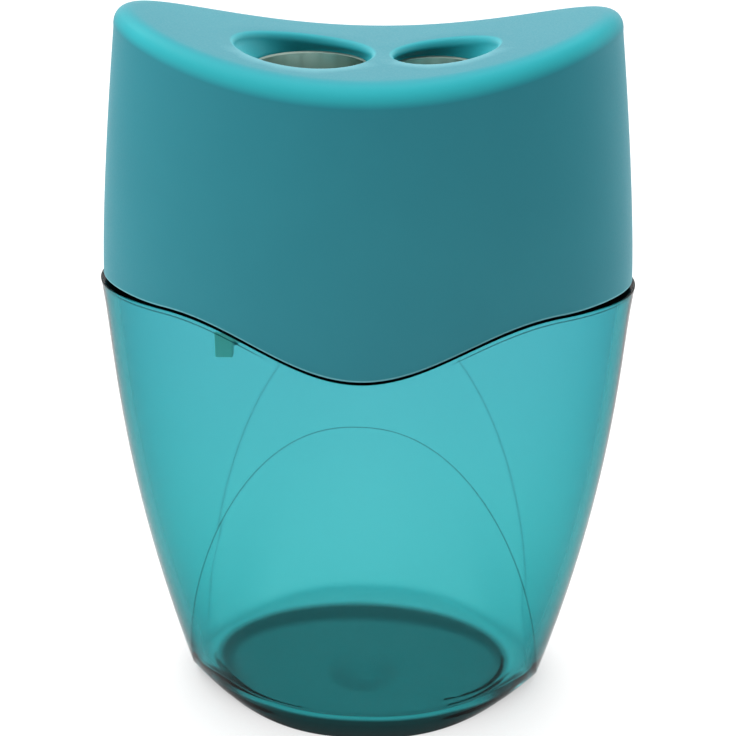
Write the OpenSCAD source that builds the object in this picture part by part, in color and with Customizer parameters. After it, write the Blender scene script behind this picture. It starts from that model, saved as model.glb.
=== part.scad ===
// Hand-held two-hole canister pencil sharpener.
// Lengths are millimetres. X runs across the wide side, -Y is the front, +Z is up.
// The origin is the middle of the base, on the surface that the receptacle stands on.

/* [Receptacle] */
// Width across the rim, where the receptacle meets the cap
rim_w = 54.8; // [52:0.1:58]
// Depth from front to back at the rim
rim_d = 28.9; // [27:0.1:31]
// Width of the base, from corner to corner
base_w = 39.9; // [38:0.1:46]
// Depth of the body at the base
base_d = 28.7; // [27:0.1:29.5]
// Height of the rim at the two narrow sides
rim_h = 48.3; // [46:0.1:54]
// How steeply the sides flare out of the base
flare = 2; // [1.4:0.05:2.4]
// How far the rim's narrow sides turn outwards
rim_lip = 0.4; // [0:0.05:0.6]
// Wall thickness
wall = 1.4; // [1.1:0.05:1.7]
// Floor thickness
floor_t = 1.6; // [1.2:0.1:2.4]
// Radius between wall and floor, inside
floor_r = 3.2; // [2:0.1:4]
// Radius of the edge round the base
foot_r = 0.5; // [0.4:0.1:1.2]

/* [Arched panels] */
// Height of the arch on the front and back faces
arch_h = 38.3; // [30:0.1:39]
// How far the arched panel lies inside the oval body at mid height
arch_cut = 0.4; // [0.2:0.05:0.6]
// How much shallower the panel is than the body at the base
arch_base_cut = 0.1; // [0.05:0.05:0.5]
// How much squarer than a parabola the base's front and back are
base_square = 0.4; // [0:0.05:0.8]

/* [Seam] */
// How far the cap dips over the receptacle at front and back
wave_dip = 5.6; // [3:0.1:6.5]
// Distance from the middle to where the dip starts
wave_half_w = 19.4; // [16:0.1:22]
// Open line between cap and receptacle
seam_gap = 0.4; // [0.3:0.05:0.6]
// How far the receptacle stands proud of the cap
rim_step = 0.35; // [0.2:0.05:0.5]
// Height of the neck that enters the cap
neck_h = 3.4; // [2.5:0.1:4]
// Wall thickness of the neck
neck_wall = 0.9; // [0.8:0.05:1.1]
// Clearance between the neck and the cap
neck_gap = 0.3; // [0.3:0.05:0.4]

/* [Cap] */
// Height of the top at its middle, the lowest place of the saddle
top_h = 71.4; // [69:0.1:76]
// How far the two ends rise above the middle
saddle_rise = 4.8; // [2:0.1:6]
// Width of the top
top_w = 47.6; // [44:0.1:50]
// Depth of the top
top_d = 26.7; // [25.5:0.1:28]
// Radius of the edge round the top
top_r = 2.4; // [1:0.1:2.6]
// Wall thickness of the skirt, beside the holder
skirt_wall = 1.1; // [0.9:0.05:1.3]
// Wall thickness above the holder
cap_wall = 1.8; // [1.6:0.05:2.2]
// Diameter of the large pencil opening
large_open_d = 14; // [13.4:0.1:14.4]
// Diameter of the small pencil opening
small_open_d = 10.8; // [10.7:0.1:11.2]
// Place of the large opening across the cap
large_open_x = -6; // [-6.4:0.05:-5.8]
// Place of the small opening across the cap
small_open_x = 7.5; // [7.2:0.05:7.9]
// How far the openings lie in front of the hole axes
open_front = 1.1; // [0.6:0.05:1.2]
// How far above the middle of the top the openings start to narrow
funnel_up = 0.4; // [0:0.1:0.8]
// Thickness of the ribs that hold the block's top
rib_t = 1.2; // [0.9:0.1:1.5]
// How far those ribs reach down beside the block
rib_h = 4; // [2.5:0.1:6]

/* [Sharpener block] */
// Width of the block across both holes
block_w = 26.6; // [26:0.1:28]
// Distance from the hole axes to the back of the block
block_back = 6.7; // [6.5:0.1:6.8]
// Place of the hole axes from front to back
axis_y = 0; // [-0.3:0.1:0.5]
// Depth of the cap material over the block, at the middle
block_cover = 1.2; // [0.9:0.05:1.4]
// Diameter of the large pencil guide
large_bore_d = 10.8; // [10:0.1:11]
// Diameter of the small pencil guide
small_bore_d = 8.2; // [7.8:0.1:8.6]
// Place of the large guide across the block
large_bore_x = -5.5; // [-5.7:0.05:-5.4]
// Place of the small guide across the block
small_bore_x = 6.8; // [6.6:0.05:7]
// Distance of the large blade's back from the side of the block
blade_side = 0.25; // [0.1:0.05:0.6]
// Half the angle of the sharpened point
cone_angle = 12.5; // [12:0.1:13]
// Radius of the hole that the pencil's point reaches
tip_r = 0.6; // [0.4:0.05:0.8]
// Straight length of the large guide
guide_len = 4; // [3:0.1:4.5]
// How far the cutting edges reach into the cones
bite = 0.25; // [0.1:0.05:0.35]
// Chamfer at the mouth of each guide
mouth_chamfer = 0.3; // [0.2:0.05:0.4]
// Width of the slot that lets the shavings out
throat_w = 3.8; // [3.2:0.1:4]
// Depth of that slot below the blade's bed
throat_depth = 1.4; // [1:0.1:1.8]

/* [Blades and screws] */
// Length of a blade
blade_len = 23; // [21:0.1:24]
// Thickness of a blade
blade_t = 0.8; // [0.6:0.05:1]
// Width of the ground edge
blade_grind = 0.9; // [0.6:0.05:1.2]
// Distance of the screw from the lower end of the blade
screw_up = 7.6; // [7:0.1:8.2]
// Distance of the screw from the cutting edge
screw_in = 4.3; // [4.2:0.05:4.5]
// Diameter of the screw's shank
screw_d = 2.8; // [2.4:0.05:2.8]
// Clearance round the shank, on the radius
screw_gap = 0.1; // [0.05:0.01:0.15]
// Diameter of the screw's head
head_d = 5; // [4.6:0.1:5.2]
// Height of the screw's head
head_h = 1.5; // [1.2:0.1:1.8]
// Length of the shank under the head
shank_len = 5; // [4:0.1:5.5]
// Width of the slot for the screwdriver
slot_w = 0.8; // [0.6:0.1:1]
// Depth of that slot
slot_depth = 0.7; // [0.5:0.1:0.9]

/* [Holder] */
// Thickness of the deck
deck_t = 1.6; // [1.2:0.1:2]
// Clearance between the deck and the neck below it
deck_gap = 0.7; // [0.5:0.1:1.2]
// Clearance of the holder round the block and inside the cap
holder_gap = 0.1; // [0.05:0.01:0.15]
// Thickness of the holder's walls
holder_wall = 1.1; // [1:0.1:1.3]
// Height of the well's walls above the deck
well_h = 6; // [4:0.5:9]
// Width of the ledge under the back of the block
ledge_w = 3.5; // [2.5:0.1:4.2]
// Thickness of the ledge
ledge_t = 1.4; // [1.2:0.1:1.8]
// Width of the locating tab
tab_w = 1.7; // [1.4:0.1:2.2]
// Distance of the tab's middle from the side of the block
tab_side = 0.3; // [0.1:0.1:1]
// How far the tab reaches below the rim
tab_drop = 5.4; // [3.5:0.1:6]
// Thickness of the tab
tab_t = 1; // [0.8:0.1:1.2]
// Length of the web beside the tab
web_len = 4; // [3:0.1:4.2]
// How far the web reaches below the seam at the tab
web_drop = 2.7; // [2:0.1:3.5]
// How far it reaches below the seam at its thin end
web_end_drop = 1.6; // [1.2:0.1:2]

/* [Hidden] */

eps = 0.01;
// How far a cut runs past the face that it opens
past = 1;
teal = [0.25, 0.58, 0.62];
clear_teal = [0.2, 0.7, 0.72, 0.55];
holder_teal = [0.2, 0.5, 0.52];

// Points round one section: each arched panel and each narrow side has its own share.
panel_n = 20;
side_n = 16;
ring_n = 2 * (panel_n + side_n);
foot_rings = 3;
floor_rings = 5;
arch_rings = 13;
inner_rings = 7;
upper_rings = 3;
side_rings = 7;
edge_rings = 4;
top_rings = 6;

// ---- Shared outlines ----
// Oval body: half width and half depth at a height.
lip_power = 16;
function half_w(z) = base_w / 2
    + (rim_w / 2 - rim_lip - base_w / 2) * (1 - pow(max(0, 1 - z / rim_h), flare))
    + rim_lip * pow(min(1, z / rim_h), lip_power);
function half_d(z) = (base_d + (rim_d - base_d) * min(1, z / rim_h)) / 2;

// The arched panel ends at this angle on the oval: a corner at the base, nothing at the arch's top.
min_split = 5;
arch_power = 0.8;
arch_root = 0.45;
arch_z1 = 0.9995 * arch_h;
function arch_split(z) =
    max(min_split, acos(pow(1 - pow(max(0, z) / arch_h, arch_power), arch_root)));

// Above the arch the same points spread out again, up to the rim.
rim_split = 56;
function split_at(z, z_rim) = z <= arch_z1 ? arch_split(z)
    : let(f = min(1, (z - arch_z1) / (z_rim - arch_z1)))
      arch_split(arch_z1) * (1 - f) + rim_split * f;

// Half depth in the middle of the arched panel.
function panel_d(z) =
    half_d(z) - arch_base_cut * (1 - z / arch_h) - arch_cut * sin(180 * z / arch_h);

// Angle of point j on the oval: right side, back panel, left side, front panel.
function ring_angle(j, split) =
    let(back = j - side_n, left = back - panel_n, front = left - side_n)
    back < 0 ? split * (2 * j / side_n - 1)
    : left < 0 ? split + (180 - 2 * split) * back / panel_n
    : front < 0 ? 180 + split * (2 * left / side_n - 1)
    : 180 + split + (180 - 2 * split) * front / panel_n;
function on_panel(j) = let(k = j % (side_n + panel_n)) k > side_n;

// Y at x of an arch over (0, mid) and (edge_x, edge_y): a parabola where the power is 2.
function arc_y(x, mid, edge_x, edge_y, power) =
    mid - (mid - edge_y) * pow(min(1, abs(x) / edge_x), power);
function panel_power(z) = 2 + base_square * pow(1 - z / arch_h, 2);

// Point j of the body's section at height z, moved inwards by inset.
function body_point(j, z, z_rim, inset) =
    let(split = split_at(z, z_rim), t = ring_angle(j, split),
        a = half_w(z) - inset, b = half_d(z) - inset)
    [a * cos(t),
     z < arch_z1 && on_panel(j)
         ? sign(sin(t)) * arc_y(a * cos(t), panel_d(z) - inset, a * cos(split), b * sin(split),
                                panel_power(z))
         : b * sin(t),
     z];

// Height of the seam at x, and at point j of the rim.
function seam_at(x) = rim_h - (abs(x) < wave_half_w
    ? wave_dip * (1 + cos(180 * x / wave_half_w)) / 2 : 0);
function rim_angle(j) = ring_angle(j, rim_split);
function seam_z(j) = seam_at(rim_w / 2 * cos(rim_angle(j)));
function oval_point(j, a, b, z) = [a * cos(rim_angle(j)), b * sin(rim_angle(j)), z];

// Height of the saddle at x.
function saddle(x) = top_h + saddle_rise * pow(x / (top_w / 2), 2);

// Half width and half depth of the cap's outside at a height.
cap_bulge = 1.3;
function cap_f(z) =
    pow(min(1, max(0, (z - rim_h) / (top_h + saddle_rise - rim_h))), cap_bulge);
function cap_a(z) = (rim_w / 2 - rim_step) * (1 - cap_f(z)) + top_w / 2 * cap_f(z);
function cap_b(z) = (rim_d / 2 - rim_step) * (1 - cap_f(z)) + top_d / 2 * cap_f(z);

// Joins rings of points into a closed solid, with a fan at each end.
module rings_solid(rings) {
    n = len(rings[0]);
    last = len(rings) - 1;
    fan = (last + 1) * n;
    function middle(ring) = [for (p = ring) 1] * ring / n;
    points = concat([for (ring = rings) each ring], [middle(rings[0]), middle(rings[last])]);
    polyhedron(points, convexity = 8, faces = concat(
        [for (i = [0:last - 1], j = [0:n - 1])
            [i * n + j, (i + 1) * n + j, (i + 1) * n + (j + 1) % n]],
        [for (i = [0:last - 1], j = [0:n - 1])
            [i * n + j, (i + 1) * n + (j + 1) % n, i * n + (j + 1) % n]],
        [for (j = [0:n - 1]) [fan, j, (j + 1) % n]],
        [for (j = [0:n - 1]) [fan + 1, last * n + (j + 1) % n, last * n + j]]));
}

// ---- Places that pieces share ----
deck_z = rim_h + neck_h + deck_gap;
deck_top = deck_z + deck_t;
skirt_in_a = cap_a(deck_top) - skirt_wall;
skirt_in_b = cap_b(deck_top) - skirt_wall;
neck_a = skirt_in_a - neck_gap;
neck_b = skirt_in_b - neck_gap;
neck_inset = rim_w / 2 - (neck_a - neck_wall);
block_top = top_h - block_cover;
block_y1 = axis_y + block_back;
apex_z = block_top - guide_len - large_bore_d / 2 / tan(cone_angle);
block_z0 = apex_z + tip_r / tan(cone_angle);
blade_w = block_w / 2 + large_bore_x - blade_side;
tab_x = block_w / 2 + tab_side;
well_x = block_w / 2 + holder_gap;
well_y1 = block_y1 + holder_gap;

// ---- Receptacle ----
// The inside is wide enough at every height for the neck above it.
function inner_inset(z) = max(wall, half_w(z) - (rim_w / 2 - neck_inset));
function ring_at(inset, z) = [for (j = [0:ring_n - 1]) body_point(j, z, seam_z(j), inset)];
function eased(k, n) = 1 - pow(1 - k / n, 2);

module receptacle() {
    inner_z0 = floor_t + floor_r;
    color(clear_teal) rings_solid(concat(
        // Rounded foot
        [for (k = [foot_rings:-1:1]) let(e = 90 * k / foot_rings)
            ring_at(foot_r * (1 - cos(e)), foot_r * (1 - sin(e)))],
        // Outside, with the arched panels
        [for (k = [0:arch_rings])
            ring_at(0, foot_r + (arch_z1 - foot_r) * eased(k, arch_rings))],
        // Outside, from the arch's top to the wavy rim
        [for (k = [1:upper_rings]) [for (j = [0:ring_n - 1])
            body_point(j, arch_z1 + (seam_z(j) - arch_z1) * k / upper_rings, seam_z(j), 0)]],
        // Neck
        [[for (j = [0:ring_n - 1]) oval_point(j, neck_a, neck_b, seam_z(j))]],
        [[for (j = [0:ring_n - 1]) oval_point(j, neck_a, neck_b, seam_z(j) + neck_h)]],
        [[for (j = [0:ring_n - 1])
            body_point(j, seam_z(j) + neck_h, seam_z(j), neck_inset)]],
        // Inside, from the rim down to the arch's top
        [for (k = [upper_rings:-1:1]) [for (j = [0:ring_n - 1])
            let(z = arch_z1 + (seam_z(j) - arch_z1) * k / upper_rings)
            body_point(j, z, seam_z(j), inner_inset(z))]],
        // Inside of the arched panels
        [for (k = [inner_rings:-1:0])
            let(z = inner_z0 + (arch_z1 - inner_z0) * eased(k, inner_rings))
            ring_at(inner_inset(z), z)],
        // Rounding between wall and floor
        [for (k = [1:floor_rings])
            let(e = 90 * k / floor_rings, z = floor_t + floor_r * (1 - sin(e)))
            ring_at(inner_inset(z) + floor_r * (1 - cos(e)), z)]));
}

// ---- Cap ----
function cap_ring(a, b, z_of) = [for (j = [0:ring_n - 1])
    let(x = a * cos(rim_angle(j))) [x, b * sin(rim_angle(j)), z_of(x)]];

module cap_body() {
    in_a = top_w / 2 - cap_wall;
    in_b = top_d / 2 - cap_wall;
    rings_solid(concat(
        // Ceiling
        [for (k = [1:top_rings])
            cap_ring(in_a * k / top_rings, in_b * k / top_rings,
                     function(x) saddle(x) - cap_wall)],
        // Inside, down to the stop for the holder
        [for (k = [1:side_rings]) [for (j = [0:ring_n - 1])
            let(z1 = saddle(in_a * cos(rim_angle(j))) - cap_wall,
                z = z1 + (deck_top - z1) * k / side_rings)
            oval_point(j, cap_a(z) - cap_wall, cap_b(z) - cap_wall, z)]],
        [[for (j = [0:ring_n - 1]) oval_point(j, skirt_in_a, skirt_in_b, deck_top)]],
        // Wavy lower edge
        [[for (j = [0:ring_n - 1]) oval_point(j, skirt_in_a, skirt_in_b, seam_z(j) + seam_gap)]],
        // Outside
        [for (k = [0:side_rings]) [for (j = [0:ring_n - 1])
            let(z0 = seam_z(j) + seam_gap,
                z1 = saddle(top_w / 2 * cos(rim_angle(j))) - top_r,
                z = z0 + (z1 - z0) * k / side_rings)
            oval_point(j, cap_a(z), cap_b(z), z)]],
        // Rounded edge round the top
        [for (k = [1:edge_rings]) [for (j = [0:ring_n - 1])
            let(e = 90 * k / edge_rings,
                x1 = top_w / 2 * cos(rim_angle(j)), z1 = saddle(x1) - top_r,
                inset = top_r * (1 - cos(e)),
                p = oval_point(j, cap_a(z1) - inset, cap_b(z1) - inset, 0))
            [p.x, p.y, saddle(p.x) - top_r * (1 - sin(e))]]],
        // Saddle
        [for (k = [top_rings - 1:-1:1])
            cap_ring((cap_a(top_h) - top_r) * k / top_rings,
                     (cap_b(top_h) - top_r) * k / top_rings, function(x) saddle(x))]));
}

// Opening for a pencil, which narrows down to the mouth of its guide.
module funnel(x, d, bore_x, bore_d) {
    mouth_d = bore_d + 2 * mouth_chamfer;
    hull() {
        translate([x, axis_y - open_front, top_h + funnel_up])
            cylinder(d = d, h = 2 * saddle_rise, $fn = 64);
        translate([bore_x, axis_y, block_top - eps]) cylinder(d = mouth_d, h = eps, $fn = 64);
    }
    translate([bore_x, axis_y, block_top - rib_h]) cylinder(d = mouth_d, h = rib_h, $fn = 64);
}

module cap_shell() {
    rib_z0 = block_top - rib_h;
    rib_top = saddle(well_x) - cap_wall / 2;
    color(teal) difference() {
        union() {
            cap_body();
            // Ribs on both sides of the block's top
            for (side = [-1, 1])
                translate([side > 0 ? well_x : -well_x - rib_t, axis_y - block_back, rib_z0])
                    cube([rib_t, 2 * block_back, rib_top - rib_z0]);
            // Rib behind it
            translate([-block_w / 4, well_y1, rib_z0])
                cube([block_w / 2, rib_t, block_top + block_cover / 2 - rib_z0]);
        }
        // Flat seat for the block
        translate([-well_x, -block_y1 - holder_gap, rib_z0])
            cube([2 * well_x, 2 * well_y1, rib_h]);
        funnel(large_open_x, large_open_d, large_bore_x, large_bore_d);
        funnel(small_open_x, small_open_d, small_bore_x, small_bore_d);
    }
}

// ---- Sharpener block ----
// The blades lie on one sloping bed, which runs along both cones and just opens them. This is
// its frame: X across, Z up the slope from where the cones would end, and -Y off the block.
module on_bed(x) {
    translate([x, axis_y, apex_z]) rotate([cone_angle, 0, 0])
        translate([0, bite, 0]) children();
}

function cone_len(d) = d / 2 / tan(cone_angle);
function bed_y(z) = axis_y + bite / cos(cone_angle) - (z - apex_z) * tan(cone_angle);
blade_up = 0.5;
blade_s0 = (block_z0 - apex_z) / cos(cone_angle) + blade_up;

module pencil_hole(x, d) {
    r = d / 2;
    translate([x, axis_y, 0]) rotate_extrude($fn = 96) polygon([
        [0, apex_z], [r, apex_z + cone_len(d)], [r, block_top - mouth_chamfer],
        [r + mouth_chamfer, block_top], [r + mouth_chamfer, block_top + past],
        [0, block_top + past]]);
    // Slot beside the cutting edge
    on_bed(x) translate([0, -throat_depth, 0])
        cube([throat_w, 2 * throat_depth, cone_len(d) / cos(cone_angle)]);
    // Threaded hole for the screw
    on_bed(x) translate([-screw_in, 0, blade_s0 + screw_up]) rotate([-90, 0, 0])
        translate([0, 0, -past])
            cylinder(r = screw_d / 2 + screw_gap, h = past + shank_len, $fn = 48);
}

module sharpener_block() {
    color("silver") difference() {
        rotate([90, 0, 90]) linear_extrude(height = block_w, center = true)
            polygon([[bed_y(block_z0), block_z0], [block_y1, block_z0],
                     [block_y1, block_top], [bed_y(block_top), block_top]]);
        pencil_hole(large_bore_x, large_bore_d);
        pencil_hole(small_bore_x, small_bore_d);
    }
}

// ---- Blades and screws ----
// The edge lies on the slope at X = 0, and the bevel is ground on the outside.
module blade(x) {
    color("lightsteelblue") on_bed(x) difference() {
        translate([0, 0, blade_s0]) linear_extrude(height = blade_len)
            polygon([[-blade_w, 0], [0, 0], [-blade_grind, -blade_t], [-blade_w, -blade_t]]);
        translate([-screw_in, eps, blade_s0 + screw_up]) rotate([90, 0, 0])
            cylinder(r = screw_d / 2 + screw_gap, h = blade_t + 2 * eps, $fn = 48);
    }
}

module screw(x) {
    color("gainsboro") on_bed(x) translate([-screw_in, -blade_t, blade_s0 + screw_up])
        rotate([90, 0, 0]) difference() {
            union() {
                cylinder(d = head_d, h = head_h, $fn = 48);
                translate([0, 0, -shank_len]) cylinder(d = screw_d, h = shank_len + eps, $fn = 48);
            }
            translate([-head_d, -slot_w / 2, head_h - slot_depth])
                cube([2 * head_d, slot_w, slot_depth + eps]);
        }
}

module large_blade() { blade(large_bore_x); }
module small_blade() { blade(small_bore_x); }
module large_blade_screw() { screw(large_bore_x); }
module small_blade_screw() { screw(small_bore_x); }

// ---- Holder ----
// Y at x of the neck's inner face.
function neck_in_y(x) =
    (rim_d / 2 - neck_inset) * sqrt(1 - pow(x / (rim_w / 2 - neck_inset), 2));
// The tab's outer face clears the neck at the tab's far corner.
tab_y = neck_in_y(tab_x + tab_w / 2) - neck_gap;
web_x = -tab_x + tab_w / 2;
chute_half_w = -web_x - web_len;
chute_y = neck_in_y(chute_half_w);

// Tab that finds the neck, with a web beside it that follows the seam.
module locating_tab() {
    z0 = rim_h - tab_drop;
    web_n = 8;
    translate([-tab_x - tab_w / 2, -tab_y, z0]) cube([tab_w, tab_t, deck_z - z0 + eps]);
    translate([0, tab_t - tab_y, 0]) rotate([90, 0, 0]) linear_extrude(height = tab_t)
        polygon(concat(
            [[web_x - eps, deck_z + eps], [web_x + web_len, deck_z + eps]],
            [for (k = [web_n:-1:0])
                let(x = web_x + web_len * k / web_n,
                    drop = web_end_drop + (web_drop - web_end_drop) * pow(1 - k / web_n, 3))
                [k == 0 ? x - eps : x, seam_at(x) - drop]]));
}

// U-shaped wall round the block, from a ledge under its back up past the deck.
module well_wall() {
    z0 = block_z0 - ledge_t;
    cheek_over = 1;
    front_y = bed_y(block_z0) - cheek_over;
    wall_h = deck_top + well_h - z0;
    translate([0, 0, z0]) {
        difference() {
            translate([-well_x - holder_wall, front_y, 0])
                cube([2 * (well_x + holder_wall), well_y1 + holder_wall - front_y, wall_h]);
            translate([-well_x, front_y - past, -past])
                cube([2 * well_x, well_y1 + past - front_y, wall_h + 2 * past]);
        }
        translate([-well_x, well_y1 - ledge_w, 0]) cube([2 * well_x, ledge_w + eps, ledge_t]);
    }
}

module block_holder() {
    color(holder_teal) {
        difference() {
            translate([0, 0, deck_z]) linear_extrude(height = deck_t)
                polygon([for (j = [0:ring_n - 1])
                    let(p = oval_point(j, skirt_in_a - holder_gap, skirt_in_b - holder_gap, 0))
                    [p.x, p.y]]);
            // Way for the block, and for the shavings in front of it
            translate([-well_x, tab_t - tab_y, deck_z - eps])
                cube([2 * well_x, tab_y - tab_t + well_y1, deck_t + 2 * eps]);
            translate([-chute_half_w, -chute_y, deck_z - eps])
                cube([2 * chute_half_w, chute_y, deck_t + 2 * eps]);
        }
        // All that reaches down into the receptacle stays clear of its neck
        intersection() {
            union() {
                well_wall();
                locating_tab();
            }
            linear_extrude(height = deck_top + well_h)
                polygon([for (j = [0:ring_n - 1])
                    let(p = oval_point(j, rim_w / 2 - neck_inset - neck_gap,
                                       rim_d / 2 - neck_inset - neck_gap, 0))
                    [p.x, p.y]]);
        }
    }
}

receptacle();
cap_shell();
block_holder();
sharpener_block();
large_blade();
small_blade();
large_blade_screw();
small_blade_screw();
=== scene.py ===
import math

import bmesh
import bpy
import numpy as np
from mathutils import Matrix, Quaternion, Vector
from mathutils.geometry import delaunay_2d_cdt

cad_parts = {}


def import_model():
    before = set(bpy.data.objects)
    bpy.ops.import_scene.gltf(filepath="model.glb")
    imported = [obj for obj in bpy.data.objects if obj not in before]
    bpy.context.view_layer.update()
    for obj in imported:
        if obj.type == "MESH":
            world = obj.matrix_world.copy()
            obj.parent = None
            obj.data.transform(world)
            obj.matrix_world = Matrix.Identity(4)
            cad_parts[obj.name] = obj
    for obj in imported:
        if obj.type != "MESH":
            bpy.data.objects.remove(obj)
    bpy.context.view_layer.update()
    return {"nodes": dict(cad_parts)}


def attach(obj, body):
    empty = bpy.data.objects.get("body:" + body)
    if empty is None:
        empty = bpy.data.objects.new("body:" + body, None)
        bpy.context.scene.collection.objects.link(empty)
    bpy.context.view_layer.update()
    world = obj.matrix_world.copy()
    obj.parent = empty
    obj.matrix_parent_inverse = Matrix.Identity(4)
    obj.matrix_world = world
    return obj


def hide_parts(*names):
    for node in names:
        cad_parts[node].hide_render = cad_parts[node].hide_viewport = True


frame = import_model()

# Looks of a hand-held two-hole canister pencil sharpener. The receptacle and the cap are drawn
# here as meshes, in place of the part's own. The other pieces are the part's, with rounded edges
# and materials.

MM = 0.001

# ---- Sizes in millimetres, as in the part ----
RIM_W, RIM_D, RIM_H = 54.8, 28.9, 48.3
BASE_W, BASE_D = 39.9, 28.7
FLARE, RIM_LIP, LIP_POWER = 2.0, 0.4, 16
WALL, FLOOR_T = 1.4, 1.6
ARCH_H, ARCH_CUT, ARCH_BASE_CUT, BASE_SQUARE = 38.3, 0.4, 0.1, 0.4
ARCH_POWER, ARCH_ROOT = 0.8, 0.45
WAVE_DIP, WAVE_HALF_W = 5.6, 19.4
SEAM_GAP, RIM_STEP = 0.4, 0.35
NECK_H, NECK_WALL, NECK_GAP = 3.4, 0.9, 0.3
TOP_H, SADDLE_RISE, TOP_W, TOP_D, TOP_R = 71.4, 4.8, 47.6, 26.7, 2.4
SKIRT_WALL, CAP_WALL, CAP_BULGE = 1.1, 1.8, 1.3
DECK_GAP, DECK_T, BLOCK_COVER = 0.7, 1.6, 1.2
DECK_TOP = RIM_H + NECK_H + DECK_GAP + DECK_T
BLOCK_TOP = TOP_H - BLOCK_COVER
OPENING_Y = -1.1
# Each opening: place across and radius at the top, then those of the guide's chamfered mouth
OPENINGS = ((-6.0, 7.0, -5.5, 5.55), (7.5, 5.4, 6.8, 4.25))

# ---- Outlines ----
# Least angle on the oval from the side to the edge of the arched panel. The panel's formula
# stops short of its very top, where the panel would have no width.
MIN_SPLIT, MAX_SPLIT = math.radians(5), math.radians(89.9)
PANEL_TOP = ARCH_H * 0.9995


def half_w(z):
    """Half width of the receptacle's outside."""
    flared = (RIM_W / 2 - RIM_LIP - BASE_W / 2) * (1 - np.maximum(0, 1 - z / RIM_H) ** FLARE)
    return BASE_W / 2 + flared + RIM_LIP * np.minimum(1, z / RIM_H) ** LIP_POWER


def half_d(z):
    """Half depth of the receptacle's outside, at the sides of its panels."""
    return (BASE_D + (RIM_D - BASE_D) * np.minimum(1, z / RIM_H)) / 2


def panel_d(z):
    """Half depth in the middle of the arched panel."""
    return half_d(z) - ARCH_BASE_CUT * (1 - z / ARCH_H) - ARCH_CUT * np.sin(np.pi * z / ARCH_H)


def arch_split(z):
    """Angle on the oval at which the arched panel ends, at height z."""
    f = np.clip(z / ARCH_H, 0, 1) ** ARCH_POWER
    return np.maximum(MIN_SPLIT, np.arccos((1 - f) ** ARCH_ROOT))


def crease_z(t):
    """Height at which the crease round the panel crosses the column at angle t."""
    c = np.abs(np.cos(t)) ** (1 / ARCH_ROOT)
    return ARCH_H * (1 - c) ** (1 / ARCH_POWER)


def arc_y(x, mid, edge_x, edge_y, power):
    """Y at x of an arch over (0, mid) and (edge_x, edge_y)."""
    return mid - (mid - edge_y) * np.minimum(1, np.abs(x) / edge_x) ** power


def folded(t):
    """Angle t brought into the first quarter turn: 0 at either side, a right angle in the middle."""
    return np.arccos(np.clip(np.abs(np.cos(t)), 0, 1))


def body_point(t, z, inset):
    """Points of the receptacle's section at angles t and height z, moved inwards by inset."""
    z = z + 0 * t
    a, b = half_w(z) - inset, half_d(z) - inset
    x, y = a * np.cos(t), b * np.sin(t)
    split = arch_split(z)
    on_panel = (z < PANEL_TOP) & (folded(t) > split)
    zp, sp = np.minimum(z, PANEL_TOP), np.minimum(split, MAX_SPLIT)
    power = 2 + BASE_SQUARE * (1 - zp / ARCH_H) ** 2
    arc = arc_y(x, panel_d(zp) - inset, a * np.cos(sp), b * np.sin(sp), power)
    return np.stack([x, np.where(on_panel, np.sign(np.sin(t)) * arc, y), z], -1)


def seam_at(x):
    """Height of the wavy seam between the cap and the receptacle."""
    bell = WAVE_DIP * (1 + np.cos(np.pi * x / WAVE_HALF_W)) / 2
    return RIM_H - np.where(np.abs(x) < WAVE_HALF_W, bell, 0)


def seam_z(t):
    return seam_at(RIM_W / 2 * np.cos(t))


def saddle(x):
    """Height of the cap's concave top."""
    return TOP_H + SADDLE_RISE * (x / (TOP_W / 2)) ** 2


def cap_f(z):
    return np.clip((z - RIM_H) / (TOP_H + SADDLE_RISE - RIM_H), 0, 1) ** CAP_BULGE


def cap_a(z):
    """Half width of the cap's outside."""
    return (RIM_W / 2 - RIM_STEP) * (1 - cap_f(z)) + TOP_W / 2 * cap_f(z)


def cap_b(z):
    """Half depth of the cap's outside."""
    return (RIM_D / 2 - RIM_STEP) * (1 - cap_f(z)) + TOP_D / 2 * cap_f(z)


def oval(t, a, b, z):
    return np.stack([a * np.cos(t), b * np.sin(t), z + 0 * t], -1)


# Inside of the cap's skirt, and the neck that fits in it
SKIRT_A, SKIRT_B = cap_a(DECK_TOP) - SKIRT_WALL, cap_b(DECK_TOP) - SKIRT_WALL
NECK_A, NECK_B = SKIRT_A - NECK_GAP, SKIRT_B - NECK_GAP
NECK_INSET = RIM_W / 2 - (NECK_A - NECK_WALL)

# ---- Meshes ----


def new_object(name, points, faces, body, mat):
    """A smooth mesh from points in millimetres, riding on a body."""
    mesh = bpy.data.meshes.new(name)
    mesh.from_pydata([tuple(p) for p in np.asarray(points) * MM], [], faces)
    mesh.validate()
    obj = bpy.data.objects.new(name, mesh)
    bpy.context.scene.collection.objects.link(obj)
    for poly in mesh.polygons:
        poly.use_smooth = True
    mesh.materials.append(mat)
    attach(obj, body)
    face_outwards(obj)
    return obj


def face_outwards(obj):
    bm = bmesh.new()
    bm.from_mesh(obj.data)
    bmesh.ops.recalc_face_normals(bm, faces=bm.faces)
    bm.to_mesh(obj.data)
    bm.free()


def add_layer(obj, name, values):
    """A value for each point of the mesh, which its material reads by name."""
    layer = obj.data.attributes.new(name, "FLOAT", "POINT")
    layer.data.foreach_set("value", values)


def tube_faces(first, count, n):
    """Quads along a tube of rings, each of n points, whose points start at this index."""
    faces = []
    for low in range(first, first + (count - 1) * n, n):
        faces += [(low + j, low + (j + 1) % n, low + n + (j + 1) % n, low + n + j)
                  for j in range(n)]
    return faces


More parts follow.
